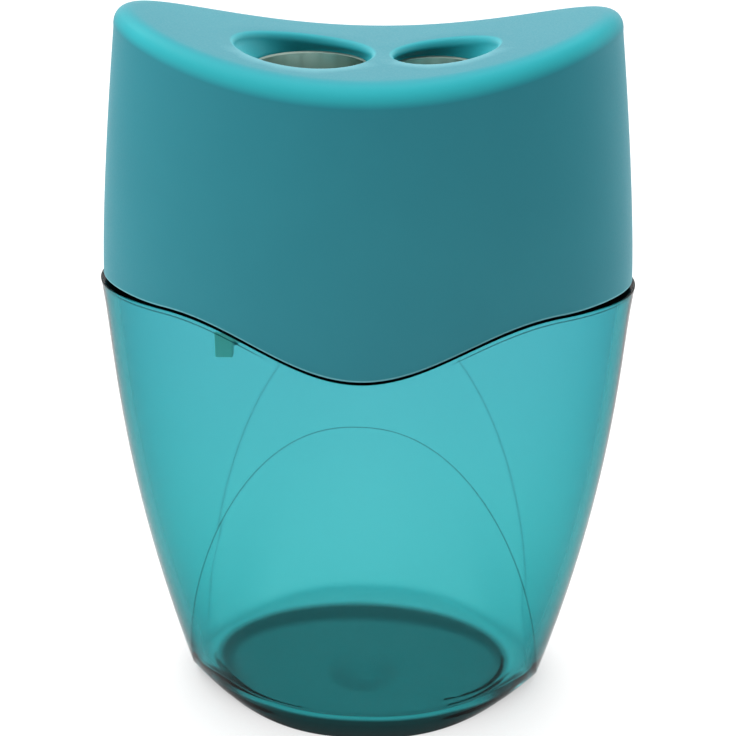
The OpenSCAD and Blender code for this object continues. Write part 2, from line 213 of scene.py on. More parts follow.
def closed_tube(name, rings, body, mat):
    """A closed solid from rings of points, whose first and last ring shrink to a middle point."""
    n = len(rings[0])
    points = np.concatenate([*rings, [rings[0].mean(0)], [rings[-1].mean(0)]])
    last, fan = (len(rings) - 1) * n, len(rings) * n
    faces = tube_faces(0, len(rings), n)
    faces += [(fan, (j + 1) % n, j) for j in range(n)]
    faces += [(fan + 1, last + j, last + (j + 1) % n) for j in range(n)]
    return new_object(name, points, faces, body, mat)


def smooth(f):
    f = np.clip(f, 0, 1)
    return f * f * (3 - 2 * f)


def quarter(k, steps):
    """How far step k of a quarter circle of radius 1 still is from its end, and from its start."""
    e = math.pi / 2 * k / steps
    return 1 - math.sin(e), 1 - math.cos(e)


# Angles of the columns of points round the receptacle and the cap
COLUMNS = 240
T = (np.arange(COLUMNS) + 0.5) * 2 * np.pi / COLUMNS


def beyond(x, fade):
    """0 in the columns that lie nearer the middle than x, and 1 from fade further out."""
    return smooth((np.abs(RIM_W / 2 * np.cos(T)) - x) / fade)


# ---- Receptacle ----
# Its rings run from the middle of the underside out to the foot, up the outside, over the rim and
# the neck, down the inside and across the floor. Each row is a ring's points and its shade, which
# goes from 0 to 1 where the plastic is painted dark as painted shade: the shadow in the seam's gap,
# lines along the crease and under the rim, and a darker floor, ring, foot and band low down.
# The photograph shows dark lines and places that a clear shader alone doesn't give.
FLOOR_R, FLOOR_STEPS = 0.8, 6
FOOT_R, FOOT_STEPS = 0.06, 6
# Thickness of the step from the wall in to the neck
SHOULDER_T = 0.12
# The wall is thinner in the middle of the panels, and thicker low down at the sides
PANEL_THIN, LOW_THICK, LOW_Z, LEAST_SPAN = 0.15, 0.6, 22, 0.01
# Rows of points below and above the panel's crease, half the width of the line of painted shade
# on it, the lowest and the steepest crease that is followed, and the least height of wall below it
BELOW_CREASE, ABOVE_CREASE = 24, 22
CREASE_EDGE, LOWEST_CREASE, STEEPEST, LEAST_BELOW = 0.11, 1.6, 10, 0.4
# Rounded rim and the line of painted shade under it, and how far from the middle each of them
# turns dark with painted shade
RIM_ROUND, RIM_STEPS, RIM_SUPPORTS = 0.08, 3, (0.08, 0.14)
RIM_LINE, LINE_HALF, LINE_X, LINE_FADE = 0.27, 0.13, 8, 3
END_X, END_FADE = 24, 3
# Neck: size of its bevel, up to where its foot is painted black as the shadow in the seam's gap,
# and from where it is clear
NECK_EDGE, NECK_DARK, NECK_CLEAR = 0.15, 0.7, 1.1
# Ovals round the ring of painted shade on the floor: half width, half depth and middle
RING_OUT = (16.65, 10.1, -0.35, -1.3)
RING_IN = (15.3, 7.65, 0.0, -2.25)
# Sine of a column's angle at which the ring begins, and over how much more it comes up
RING_START, RING_FADE = -0.75, 0.5
# Mark of the gate on the floor: a low dome, with a crescent of painted shade at its front
GATE_R, GATE_H, GATE_Y = 4.2, 0.2, -4.4
GATE_PARTS = (1.0, 0.85, 0.65, 0.45, 0.25)
# Underside: height of its flat middle, how far the part round that is raised at the rear, and
# that part's height at the front
RECESS_H, SPARE_H, UNDER_H = 0.02, 0.5, 0.01
# Its rings: parts of the way to the oval of the ring of painted shade, the last of them with
# painted shade, how much wider than that oval the next two are, and parts of the way from there
# to the foot, which is reached at this height and inset
UNDER_PLAIN, UNDER_PAINTED = (0.2, 0.5, 0.8, 0.89), 0.97
UNDER_STEP, TO_FOOT = (0.2, 0.5), (0.0, 0.3, 0.6, 0.85, 1.0)
FOOT_LOW_Z, FOOT_LOW_INSET = FOOT_R * 0.5, FOOT_R * 0.9
# Height of the band of painted shade above the foot, at the front and elsewhere, and how it
# fades above that
FRONT_BAND, EDGE_BAND, BAND_FADE = 2.25, 0.1, 0.35
BAND_PARTS = (0.0, 0.02, 0.06, 0.33, 0.67, 1.0)
# How much of the light each place of painted shade lets through
FLOOR_DIM, RING_DIM, FRONT_DIM, FOOT_DIM, UNDER_DIM = 0.55, 0.32, 0.2, 0.3, 0.5
END_DIM, CREASE_DIM, LINE_DIM = 0.2, 0.6, 0.02
# How much more the band lets through at its top, and how much less the gate's crescent does
BAND_LIGHTER, GATE_DIM = 0.2, 0.2
# Power, found by trial, that turns the light let through into a mix of the colour with black
DIM_POWER = 2.78
# Rings on the floor, inwards: their oval, how much wider than it they are, and the light through
FLOOR_RINGS = ((RING_OUT, 0.5, 1.0), (RING_OUT, 0.1, 0.75), (RING_OUT, -0.5, RING_DIM),
               (RING_IN, 0.7, RING_DIM), (RING_IN, 0.1, (RING_DIM + FLOOR_DIM) / 2),
               (RING_IN, -0.6, FLOOR_DIM))

# 1 at the front and 0 at the sides and the rear, over a wide stretch and over a short one
FRONT_GAIN, FRONT_START, SHORT_GAIN = 1.6, 0.4, 3
FRONT = np.clip(-np.sin(T) * FRONT_GAIN - FRONT_START, 0, 1)
FRONT_SHORT = np.clip(FRONT * SHORT_GAIN, 0, 1)
BAND = EDGE_BAND + (FRONT_BAND - EDGE_BAND) * FRONT
# 0 at the front, where the ring of painted shade ends, and 1 round the rest of it
RINGED = smooth((np.sin(T) - RING_START) / RING_FADE)


def dim(through):
    """Shade of a face that lets this part of the light through."""
    return 1 - through ** DIM_POWER


def front_shade(through):
    return dim(1 - (1 - through) * FRONT_SHORT)


def ring_shade(through):
    """Painted shade on the floor: as given round the ring, and the floor's own at the front."""
    return dim(through * RINGED + FLOOR_DIM * (1 - RINGED))


def shifted_oval(shape, z, grow=0.0):
    a, b, x, y = shape
    return oval(T, a + grow, b + grow, z) + [x, y, 0]


def wall_inset(z):
    """Thickness of the wall in each column at height z."""
    split = arch_split(z)
    across = smooth((folded(T) - split) / (np.pi / 2 + LEAST_SPAN - split))
    panel = across * np.sin(np.pi * np.clip(z / ARCH_H, 0, 1))
    low = (1 - smooth(across * 2)) * np.clip(1 - z / LOW_Z, 0, 1) ** 2
    return WALL - PANEL_THIN * panel + LOW_THICK * low


def step_to_neighbours(values):
    return (np.roll(values, -1) - np.roll(values, 1)) / 2


def crease_rows(z0):
    """Height of the crease in each column, and the height that spans half the line's width."""
    crease = np.clip(crease_z(T), LOWEST_CREASE, ARCH_H)
    p = body_point(T, crease, 0)
    run = np.hypot(step_to_neighbours(p[:, 0]), step_to_neighbours(p[:, 1]))
    steep = np.minimum(STEEPEST, np.hypot(1, step_to_neighbours(crease) / run))
    crease = np.maximum(crease, z0 + LEAST_BELOW)
    return crease, np.minimum(CREASE_EDGE * steep, (crease - z0) / 4)


def wall_rows(z0, inset_of):
    """Up the wall from z0 to the rim, with a row on the crease and one on the rim's line,
    both in painted shade.
    """
    crease, edge = crease_rows(z0)
    line_z = seam_z(T) - RIM_LINE
    on_crease = np.where(crease_z(T) > LOWEST_CREASE, dim(CREASE_DIM), 0)
    on_line = dim(LINE_DIM) * beyond(LINE_X, LINE_FADE)
    rows = [(z0 + (crease - 2 * edge - z0) * (k / BELOW_CREASE), 0)
            for k in range(BELOW_CREASE + 1)]
    rows += [(crease - edge, 0), (crease, on_crease), (crease + edge, 0)]
    start, end = crease + 2 * edge, line_z - 2 * LINE_HALF
    rows += [(start + (end - start) * k / ABOVE_CREASE, 0) for k in range(ABOVE_CREASE + 1)]
    rows += [(line_z - LINE_HALF, 0), (line_z, on_line), (line_z + LINE_HALF, 0)]
    return [(body_point(T, z, inset_of(z)), shade) for z, shade in rows]


def underside_rows():
    """Flat middle and then out to the foot, raised at the rear, with painted shade towards the front
    from the middle's edge on.
    """
    painted = front_shade(UNDER_DIM)
    rows = [(shifted_oval(RING_OUT, RECESS_H, -RING_OUT[1] * (1 - f)),
             painted if f == UNDER_PAINTED else 0) for f in (*UNDER_PLAIN, UNDER_PAINTED)]
    rows.append((shifted_oval(RING_OUT, 0, UNDER_STEP[0]), painted))
    inner = shifted_oval(RING_OUT, SPARE_H, UNDER_STEP[1])
    outer = body_point(T, FOOT_LOW_Z, FOOT_LOW_INSET)
    for f in TO_FOOT:
        points = inner * (1 - f) + outer * f
        points[:, 2] = SPARE_H * (1 - FRONT) * (1 - f) + UNDER_H
        rows.append((points, painted if f < 1 else front_shade(FOOT_DIM)))
    return rows


def foot_rows():
    """Rounded foot, and the band above it, both with painted shade at the front."""
    rows = []
    for k in range(FOOT_STEPS - 2, 0, -1):
        up, inset = quarter(k, FOOT_STEPS)
        rows.append((body_point(T, FOOT_R * up, FOOT_R * inset), front_shade(FRONT_DIM)))
    for f in BAND_PARTS:
        points = body_point(T, FOOT_R + (BAND - FOOT_R) * f, 0)
        rows.append((points, front_shade(FRONT_DIM + BAND_LIGHTER * f * f)))
    return rows


def rim_rows():
    """Rounded edge of the rim, with painted shade at the sides, and the start of the shoulder,
    painted black as the shadow in the seam's gap.
    """
    top = seam_z(T)
    ends = dim(END_DIM) * beyond(END_X, END_FADE)
    rows = []
    for k in range(RIM_STEPS + 1):
        down, inset = quarter(k, RIM_STEPS)
        rows.append((body_point(T, top - RIM_ROUND * down, RIM_ROUND * inset), ends))
    rows += [(body_point(T, top, RIM_ROUND + inset), shade)
             for inset, shade in zip(RIM_SUPPORTS, (0, 1))]
    return rows


def neck_rows():
    """Up the outside of the neck, painted black only at its foot as the shadow in the seam's gap,
    and down its inside.
    """
    top = seam_z(T)
    heights = ((0, 1), (NECK_EDGE, 1), (NECK_DARK, 1), (NECK_CLEAR, 0), (NECK_H - NECK_EDGE, 0))
    rows = [(oval(T, NECK_A, NECK_B, top + up), shade) for up, shade in heights]
    rows.append((oval(T, NECK_A - NECK_EDGE, NECK_B - NECK_EDGE, top + NECK_H), 0))
    rows += [(body_point(T, z, NECK_INSET), 0) for z in (top + NECK_H, top - SHOULDER_T)]
    return rows


def inside_rows():
    """Down the inside of the wall and round its foot to the floor, whose painted shade the last
    ring takes.
    """
    rows = [(points, 0) for points, _ in wall_rows(FLOOR_T + FLOOR_R, wall_inset)[::-1]]
    for k in range(1, FLOOR_STEPS + 1):
        up, inset = quarter(k, FLOOR_STEPS)
        z = FLOOR_T + FLOOR_R * up + 0 * T
        rows.append((body_point(T, z, wall_inset(z) + FLOOR_R * inset),
                     ring_shade(1.0) if k == FLOOR_STEPS else 0))
    return rows


def floor_rows():
    """Floor with painted shade, darkest in a ring that ends towards the front, and the low dome of
    the gate's mark, with a crescent of painted shade.
    """
    rows = [(shifted_oval(shape, FLOOR_T, grow), ring_shade(through))
            for shape, grow, through in FLOOR_RINGS]
    middle = np.array([0, GATE_Y, 0])
    halfway = rows[-1][0] * 0.5 + (oval(T, GATE_R, GATE_R, FLOOR_T) + middle) * 0.5
    rows.append((halfway, dim(FLOOR_DIM)))
    for f in GATE_PARTS:
        z = FLOOR_T + GATE_H * (1 + math.cos(math.pi * f)) / 2
        crescent = math.sin(math.pi * f * f) * (1 - np.sin(T)) / 2
        rows.append((oval(T, GATE_R * f, GATE_R * f, z) + middle,
                     dim(FLOOR_DIM * (1 - GATE_DIM * crescent))))
    return rows


def receptacle(mat):
    outside = wall_rows(BAND + BAND_FADE, lambda z: 0)
    rows = [*underside_rows(), *foot_rows(), *outside, *rim_rows(), *neck_rows(),
            *inside_rows(), *floor_rows()]
    obj = closed_tube("receptacle_body", [points for points, _ in rows], "canister", mat)
    shades = [shade + 0 * T for _, shade in rows]
    # The shade layer holds the painted shade, which the clear plastic mixes towards black
    add_layer(obj, "shade", np.concatenate([*shades, [0.0, dim(FLOOR_DIM)]]))
    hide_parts("receptacle")


# ---- Cap ----
# Each row is a ring's points, its painted glow, standing in for light through the plastic, and its
# painted highlight.
# Gap at the seam in the middle, and how far from the middle it widens to the part's own
GAP_MIDDLE, GAP_X, GAP_FADE = 0.15, 20, 6
# Lower edge: its radius and inner chamfer, its rings, and how many of the last of them carry a painted
# highlight
CAP_EDGE_R, CAP_CHAMFER, LOW_STEPS, HIGHLIGHT_STEPS = 0.2, 0.1, 4, 2
INSIDE_STEPS, SIDE_STEPS, FIRST_SIDE_STEP, TOP_STEPS = 8, 40, 0.15, 12
# Painted glow along the front ridge: its strength, how it peaks down the rounded edge, and how quickly
# it comes up towards the front
RIDGE_PAINTED_GLOW, RIDGE_POWER, RIDGE_GAIN = 0.85, 1.6, 2
# Openings: a lip that is rounder at the back, and a funnel down into the guide's mouth
HOLE_COLUMNS, LIP_STEPS = 120, 7
LIP_BACK, LIP_FRONT = 0.8, 0.25
FUNNEL_PARTS, MOUTH_DEPTH = (0.2, 0.45, 0.7, 0.9, 1.0), 0.6
# Painted glow down each funnel, its most and over how many rings it comes up; painted highlight on the
# front of each lip, on its first rings, and how quickly it comes up towards the front
FUNNEL_PAINTED_GLOW, GLOW_STEPS = 0.5, 4
FRONT_LIP_HIGHLIGHT, LIP_GAIN, LIP_START = (0.45, 0.8, 0.6), 3, 1.2
# Grid of points on the saddle, and how far it stays from the outline and the openings' lips
GRID, GRID_CLEAR = 0.9, 0.5
# Kind of result asked of the triangulation, and the distance within which it merges points
ALL_TRIANGLES, MERGE = 0, 1e-6


def cap_inside_rows(seam):
    """From the edge of the ceiling down the inside to the lower edge."""
    in_a = TOP_W / 2 - CAP_WALL
    ceiling = saddle(in_a * np.cos(T)) - CAP_WALL
    rings = []
    for k in range(INSIDE_STEPS + 1):
        z = ceiling + (DECK_TOP - ceiling) * k / INSIDE_STEPS
        rings.append(oval(T, cap_a(z) - CAP_WALL, cap_b(z) - CAP_WALL, z))
    rings.append(oval(T, SKIRT_A, SKIRT_B, DECK_TOP))
    rings.append(oval(T, SKIRT_A, SKIRT_B, seam + CAP_EDGE_R))
    rings.append(oval(T, SKIRT_A + CAP_CHAMFER, SKIRT_B + CAP_CHAMFER, seam))
    return [(ring, 0, 0) for ring in rings]


def cap_outside_rows(seam):
    """Rounded lower edge, with a line of painted highlight, and up the outside to the edge round
    the top.
    """
    rows = []
    a, b = cap_a(seam), cap_b(seam)
    for k in range(LOW_STEPS + 1):
        inset, up = quarter(k, LOW_STEPS)
        ring = oval(T, a - CAP_EDGE_R * inset, b - CAP_EDGE_R * inset, seam + CAP_EDGE_R * up)
        rows.append((ring, 0, 1 if k > LOW_STEPS - HIGHLIGHT_STEPS else 0))
    height = top_edge() - seam - CAP_EDGE_R
    for k in (FIRST_SIDE_STEP, *range(1, SIDE_STEPS + 1)):
        z = seam + CAP_EDGE_R + height * k / SIDE_STEPS
        rows.append((oval(T, cap_a(z), cap_b(z), z), 0, 0))
    return rows


def top_edge():
    return saddle(TOP_W / 2 * np.cos(T)) - TOP_R


def cap_top_rows():
    """Rounded edge round the top, with a painted glow along the front ridge."""
    rows = []
    a, b = cap_a(top_edge()), cap_b(top_edge())
    on_front = np.clip(-np.sin(T) * RIDGE_GAIN, 0, 1)
    for k in range(1, TOP_STEPS + 1):
        down, inset = quarter(k, TOP_STEPS)
        ring = oval(T, a - TOP_R * inset, b - TOP_R * inset, 0)
        ring[:, 2] = saddle(ring[:, 0]) - TOP_R * down
        along = ((TOP_STEPS + 1 - k) / TOP_STEPS) ** RIDGE_POWER
        rows.append((ring, RIDGE_PAINTED_GLOW * math.sin(math.pi * along) * on_front, 0))
    return rows


def opening_rows(x0, r, mouth_x, mouth_r):
    """Over an opening's lip, with a painted highlight on its front, and down its funnel, with a
    painted glow, into the mouth of the guide.
    """
    s = np.arange(HOLE_COLUMNS) * 2 * np.pi / HOLE_COLUMNS
    lip = LIP_FRONT + (LIP_BACK - LIP_FRONT) * (1 + np.sin(s)) / 2
    rings = []
    for k in range(LIP_STEPS + 1):
        e = math.pi / 2 * k / LIP_STEPS
        lip_r = r - lip * math.sin(e)
        x, y = x0 + lip_r * np.cos(s), OPENING_Y + lip_r * np.sin(s)
        rings.append(np.stack([x, y, saddle(x) - lip * (1 - math.cos(e))], -1))
    edge = rings[-1]
    mouth = np.stack([mouth_x + mouth_r * np.cos(s), mouth_r * np.sin(s), BLOCK_TOP + 0 * s], -1)
    rings += [edge * (1 - f) + mouth * f for f in FUNNEL_PARTS]
    rings.append(mouth + [0, 0, -MOUTH_DEPTH])
    front_lip = np.clip(-np.sin(s) * LIP_GAIN - LIP_START, 0, 1)
    lip_highlights = [front_lip * part for part in FRONT_LIP_HIGHLIGHT] + [0] * len(rings)
    return [(ring, min(FUNNEL_PAINTED_GLOW, k / GLOW_STEPS), lip_highlights[k]) for k, ring in enumerate(rings)]


def inside(x, y, shape):
    """Whether a point lies inside a closed outline."""
    odd = False
    for (xi, yi), (xj, yj) in zip(shape, shape[-1:] + shape[:-1]):
        if (yi > y) != (yj > y) and x < (xj - xi) * (y - yi) / (yj - yi) + xi:
            odd = not odd
    return odd


def grid_points(a, b):
    """Staggered points inside an oval of these half sizes, clear of it and of the openings."""
    columns, rows = math.ceil(TOP_W / 2 / GRID), math.ceil(TOP_D / 2 / GRID)
    found = []
    for ix in range(-columns, columns + 1):
        for iy in range(-rows, rows + 1):
            x, y = ix * GRID + (iy % 2) * GRID / 2, iy * GRID
            if (x / (a - GRID_CLEAR)) ** 2 + (y / (b - GRID_CLEAR)) ** 2 > 1:
                continue
            if all(math.hypot(x - x0, y - OPENING_Y) >= r + LIP_BACK + GRID_CLEAR
                   for x0, r, _, _ in OPENINGS):
                found.append(Vector((x, y)))
    return found


class CapMesh:
    """Points and faces of the cap, with the painted glow and the painted highlight of each point."""

    def __init__(self):
        self.points, self.faces, self.glow, self.pale = [], [], [], []

    def add_rows(self, rows):
        """Adds a tube, and gives the indices of its first and of its last ring's points."""
        first, n = len(self.points), len(rows[0][0])
        last = first + (len(rows) - 1) * n
        for ring, glow, pale in rows:
            self.points += list(ring)
            self.glow += list(glow + np.zeros(n))
            self.pale += list(pale + np.zeros(n))
        self.faces += tube_faces(first, len(rows), n)
        return list(range(first, first + n)), list(range(last, last + n))

    def outline(self, loop):
        return [(self.points[i][0], self.points[i][1]) for i in loop]

    def add_point(self, x, y, z):
        self.points.append(np.array([x, y, z]))
        self.glow.append(0.0)
        self.pale.append(0.0)
        return len(self.points) - 1

    def fill(self, loop, holes, lift):
        """Fills the saddle, raised by lift, between a loop of points and its holes."""
        flat, edges, known = [], [], []
        for part in [loop] + holes:
            start = len(flat)
            flat += [Vector(place) for place in self.outline(part)]
            known += part
            edges += [(start + j, start + (j + 1) % len(part)) for j in range(len(part))]
        shape, hole_shapes = self.outline(loop), [self.outline(hole) for hole in holes]
        flat += grid_points(max(abs(x) for x, _ in shape), max(abs(y) for _, y in shape))
        places, _, triangles, sources = delaunay_2d_cdt(flat, edges, [], ALL_TRIANGLES, MERGE)[:4]
        index = []
        for p, source in zip(places, sources):
            on_edge = [known[i] for i in source if i < len(known)]
            index.append(on_edge[0] if on_edge
                         else self.add_point(p.x, p.y, saddle(p.x) + lift))
        for tri in triangles:
            x, y = (sum(places[i][axis] for i in tri) / len(tri) for axis in (0, 1))
            if inside(x, y, shape) and not any(inside(x, y, hole) for hole in hole_shapes):
                self.faces.append(tuple(index[i] for i in tri))


def cap(mat):
    mesh = CapMesh()
    seam = seam_z(T) + GAP_MIDDLE + (SEAM_GAP - GAP_MIDDLE) * beyond(GAP_X, GAP_FADE)
    ceiling, top = mesh.add_rows(cap_inside_rows(seam) + cap_outside_rows(seam) + cap_top_rows())
    holes = [mesh.add_rows(opening_rows(*opening)) for opening in OPENINGS]
    mesh.fill(top, [lip for lip, _ in holes], 0)
    mesh.fill(ceiling, [mouth for _, mouth in holes], -CAP_WALL)
    obj = new_object("cap_body", mesh.points, mesh.faces, "head", mat)
    add_layer(obj, "glow", mesh.glow)
    add_layer(obj, "pale", mesh.pale)
    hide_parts("cap_shell")


# ---- Materials ----
CAP_DEEP, CAP_LIGHT = (0.011, 0.190, 0.237), (0.014, 0.205, 0.252)
# Colours of the painted glow and of the painted highlight
PAINTED_GLOW_COLOUR, PAINTED_HIGHLIGHT_COLOUR = (0.03, 0.45, 0.50), (0.16, 0.44, 0.50)
# Tint of each face of the clear plastic, low down and high up, the black that its painted shade
# mixes in, and what its depth absorbs
LOW_TINT, HIGH_TINT, BLACK = (0.63, 0.87, 0.88), (0.64, 0.80, 0.85), (0.0, 0.0, 0.0)
LOW_TINT_Z, HIGH_TINT_Z = 0.015, 0.045
ABSORB_COLOUR, ABSORB_DENSITY, CLEAR_IOR = (0.32, 0.765, 0.775), 1000.0, 1.15
# Colour of the locating tab's end and, darker, of the rest of the holder, as painted shade on the web
# beside the tab; then where along x the change comes, and over how far
TAB_COLOUR, HOLDER_SHADE_COLOUR = (0.7, 0.85, 0.68), (0.10, 0.25, 0.25)
TAB_EDGE_X, TAB_FADE = -0.0128, 0.0004
BLOCK_METAL, BLADE_STEEL, SCREW_STEEL = (0.38, 0.48, 0.42), (0.55, 0.56, 0.58), (0.62, 0.62, 0.6)
# The part of a noise texture's range that holds most of its values
NOISE_LOW, NOISE_HIGH = 0.3, 0.7


def material(name):
    mat = bpy.data.materials.new(name)
    mat.use_nodes = True
    nodes, links = mat.node_tree.nodes, mat.node_tree.links
    return mat, nodes, links, nodes["Principled BSDF"]


def add(nodes, kind, **values):
    """A new node, with values for its inputs or for its own settings."""
    node = nodes.new(kind)
    for key, value in values.items():
        if key in node.inputs:
            node.inputs[key].default_value = value
        else:
            setattr(node, key, value)
    return node


def noise(nodes, links, scale, detail=2.0, rough=0.5, squeeze=None):
    """Noise fixed to the object's own coordinates, in metres, and finer along squeezed axes."""
    vector = add(nodes, "ShaderNodeTexCoord").outputs["Object"]
    if squeeze is not None:
        mapping = add(nodes, "ShaderNodeMapping", Scale=squeeze)
        links.new(vector, mapping.inputs["Vector"])
        vector = mapping.outputs["Vector"]
    tex = add(nodes, "ShaderNodeTexNoise", Scale=scale, Detail=detail, Roughness=rough)
    links.new(vector, tex.inputs["Vector"])
    return tex.outputs["Fac"]


def object_place(nodes, links, axis):
    """X, Y or Z in the object's own coordinates."""
    split = add(nodes, "ShaderNodeSeparateXYZ")
    links.new(add(nodes, "ShaderNodeTexCoord").outputs["Object"], split.inputs["Vector"])
    return split.outputs[axis]


def ramp(nodes, links, value, low, high, out_low, out_high):
    node = add(nodes, "ShaderNodeMapRange")
    node.inputs["From Min"].default_value = low
    node.inputs["From Max"].default_value = high
    node.inputs["To Min"].default_value = out_low
    node.inputs["To Max"].default_value = out_high
    links.new(value, node.inputs["Value"])
    return node.outputs["Result"]


def noise_ramp(nodes, links, value, out_low, out_high):
    return ramp(nodes, links, value, NOISE_LOW, NOISE_HIGH, out_low, out_high)


def roughen(nodes, links, shader, value, low, high):
    """Varies the shader's roughness with a noise."""
    links.new(noise_ramp(nodes, links, value, low, high), shader.inputs["Roughness"])


def bump(nodes, links, shader, height, strength, distance):
    node = add(nodes, "ShaderNodeBump", Strength=strength, Distance=distance)
    links.new(height, node.inputs["Height"])
    links.new(node.outputs["Normal"], shader.inputs["Normal"])


def mix_colour(nodes, links, fac, one, two):
    """Mix of two colours, each a tuple or another node's output."""
    node = add(nodes, "ShaderNodeMix", data_type="RGBA")
    ends = [sock for sock in node.inputs if sock.type == "RGBA"]
    for end, colour in zip(ends, (one, two)):
        if isinstance(colour, tuple):
            end.default_value = (*colour, 1)
        else:
            links.new(colour, end)
    links.new(fac, node.inputs["Factor"])
    return [sock for sock in node.outputs if sock.type == "RGBA"][0]


def cap_plastic():
    """Matte opaque plastic, with painted glow, and painted highlights on edges, where the mesh's
    layers say.
    """
    mat, nodes, links, shader = material("cap_plastic")
    cloudy = noise(nodes, links, scale=60, detail=3)
    colour = mix_colour(nodes, links, noise_ramp(nodes, links, cloudy, 0, 1), CAP_DEEP, CAP_LIGHT)
    # Painted glow, then painted highlight, where the mesh's layers say
    for name, other in (("glow", PAINTED_GLOW_COLOUR), ("pale", PAINTED_HIGHLIGHT_COLOUR)):
        where = add(nodes, "ShaderNodeAttribute", attribute_name=name)
        colour = mix_colour(nodes, links, where.outputs["Fac"], colour, other)
    links.new(colour, shader.inputs["Base Color"])
    fine = noise(nodes, links, scale=5200, detail=4, rough=0.6)
    roughen(nodes, links, shader, fine, low=0.42, high=0.52)
    bump(nodes, links, shader, fine, strength=0.12, distance=0.00004)
    shader.inputs["Specular IOR Level"].default_value = 0.3
    return mat


def clear_plastic():
    """Translucent plastic, mixed towards black where the mesh's shade layer paints shade."""
    mat, nodes, links, shader = material("clear_plastic")
    height = ramp(nodes, links, object_place(nodes, links, "Z"), LOW_TINT_Z, HIGH_TINT_Z, 0, 1)
    tint = mix_colour(nodes, links, height, LOW_TINT, HIGH_TINT)
    shade = add(nodes, "ShaderNodeAttribute", attribute_name="shade")
    links.new(mix_colour(nodes, links, shade.outputs["Fac"], tint, BLACK),
              shader.inputs["Base Color"])
    shader.inputs["Transmission Weight"].default_value = 1.0
    shader.inputs["IOR"].default_value = CLEAR_IOR
    fine = noise(nodes, links, scale=900, detail=3)
    roughen(nodes, links, shader, fine, low=0.08, high=0.14)
    depth = add(nodes, "ShaderNodeVolumeAbsorption", Color=(*ABSORB_COLOUR, 1),
                Density=ABSORB_DENSITY)
    links.new(depth.outputs["Volume"], nodes["Material Output"].inputs["Volume"])
    return mat


def holder_plastic():
    """The locating tab's end is light, as it shows through the wall; the rest is darker, as painted
    shade on the web beside the tab.
    """
    mat, nodes, links, shader = material("holder_plastic")
    side = ramp(nodes, links, object_place(nodes, links, "X"), TAB_EDGE_X, TAB_EDGE_X + TAB_FADE, 0, 1)
    links.new(mix_colour(nodes, links, side, TAB_COLOUR, HOLDER_SHADE_COLOUR),
              shader.inputs["Base Color"])
    fine = noise(nodes, links, scale=3000, detail=3)
    roughen(nodes, links, shader, fine, low=0.35, high=0.5)
    bump(nodes, links, shader, fine, strength=0.1, distance=0.00005)
    return mat


def metal(name, colour, low, high, grain, squeeze):
    """Metal with a fine grain, which runs across the axes along which its noise is squeezed."""
    mat, nodes, links, shader = material(name)
    fine = noise(nodes, links, scale=grain, detail=3, squeeze=squeeze)
    shader.inputs["Metallic"].default_value = 1.0
    shader.inputs["Base Color"].default_value = (*colour, 1)
    roughen(nodes, links, shader, fine, low, high)
    bump(nodes, links, shader, fine, strength=0.15, distance=0.00003)
    return mat


# ---- Camera ----
# At the photograph's angle, found by fitting the outlines above to it
CAMERA_ELEVATION = math.radians(25.68)
CAMERA_AZIMUTH = math.radians(2.81)
CAMERA_ROLL = math.radians(0.164)
CAMERA_DISTANCE = 0.150
CAMERA_AIM = Vector((0.184, 0.0, 37.735)) * MM
FOCAL_PX, FRAME_PX, SENSOR_MM = 1414.75, 736, 36


def camera():
    data = bpy.data.cameras.new("camera")
    data.sensor_width = SENSOR_MM
    data.lens = SENSOR_MM * FOCAL_PX / FRAME_PX
    data.clip_start, data.clip_end = 0.01, 20
    obj = bpy.data.objects.new("camera", data)
    bpy.context.scene.collection.objects.link(obj)
    view = Vector((-math.sin(CAMERA_AZIMUTH) * math.cos(CAMERA_ELEVATION),
                   math.cos(CAMERA_AZIMUTH) * math.cos(CAMERA_ELEVATION),
                   -math.sin(CAMERA_ELEVATION)))
    obj.location = CAMERA_AIM - view * CAMERA_DISTANCE
    obj.rotation_mode = "QUATERNION"
    roll = Quaternion((0, 0, 1), CAMERA_ROLL)
    obj.rotation_quaternion = view.to_track_quat("-Z", "Y") @ roll
    bpy.context.scene.camera = obj


# ---- Light and floor ----
AMBIENT = 0.2
# The floor: half its side, its grey for diffuse light, how near a shadow lies to what casts it,
# and its brightness to the camera in the deepest shadow and in the open
FLOOR_HALF, FLOOR_GREY, FLOOR_SEEN_GREY = 1.5, 0.8, 0.25
SHADOW_REACH, SHADOW_SAMPLES, SHADOW_END, SHADOW_DARK, SHADOW_OPEN = 0.03, 8, 0.8, 0.3, 0.9


def area_light(name, place, aim, size, power, glossy=False):
    """A lamp hidden from glossy rays or, where glossy is true, from diffuse ones."""
    data = bpy.data.lights.new(name, "AREA")
    data.shape = "RECTANGLE"
    data.size, data.size_y = size
    data.energy = power
    obj = bpy.data.objects.new(name, data)
    obj.location = place
    obj.rotation_mode = "QUATERNION"
    obj.rotation_quaternion = (Vector(aim) - Vector(place)).to_track_quat("-Z", "Y")
    obj.visible_glossy, obj.visible_diffuse = glossy, not glossy
    bpy.context.scene.collection.objects.link(obj)


def lamps():
    area_light("key", place=(-0.1, 0.22, 0.55), aim=(0, 0, 0.05), size=(0.7, 0.5), power=5.3)
    area_light("left", place=(-0.42, -0.25, 0.19), aim=(0, 0, 0.04), size=(0.4, 0.4), power=1.7)
    area_light("right", place=(0.5, 0.1, 0.19), aim=(0, 0, 0.04), size=(0.3, 0.5), power=2.2)
    area_light("back_sheen", place=(0, 0.45, 0.25), aim=(0, 0, 0.06), size=(0.8, 0.3), power=0.4,
               glossy=True)


def larger(nodes, links, one, two):
    node = add(nodes, "ShaderNodeMath", operation="MAXIMUM")
    links.new(one, node.inputs[0])
    links.new(two, node.inputs[1])
    return node.outputs[0]


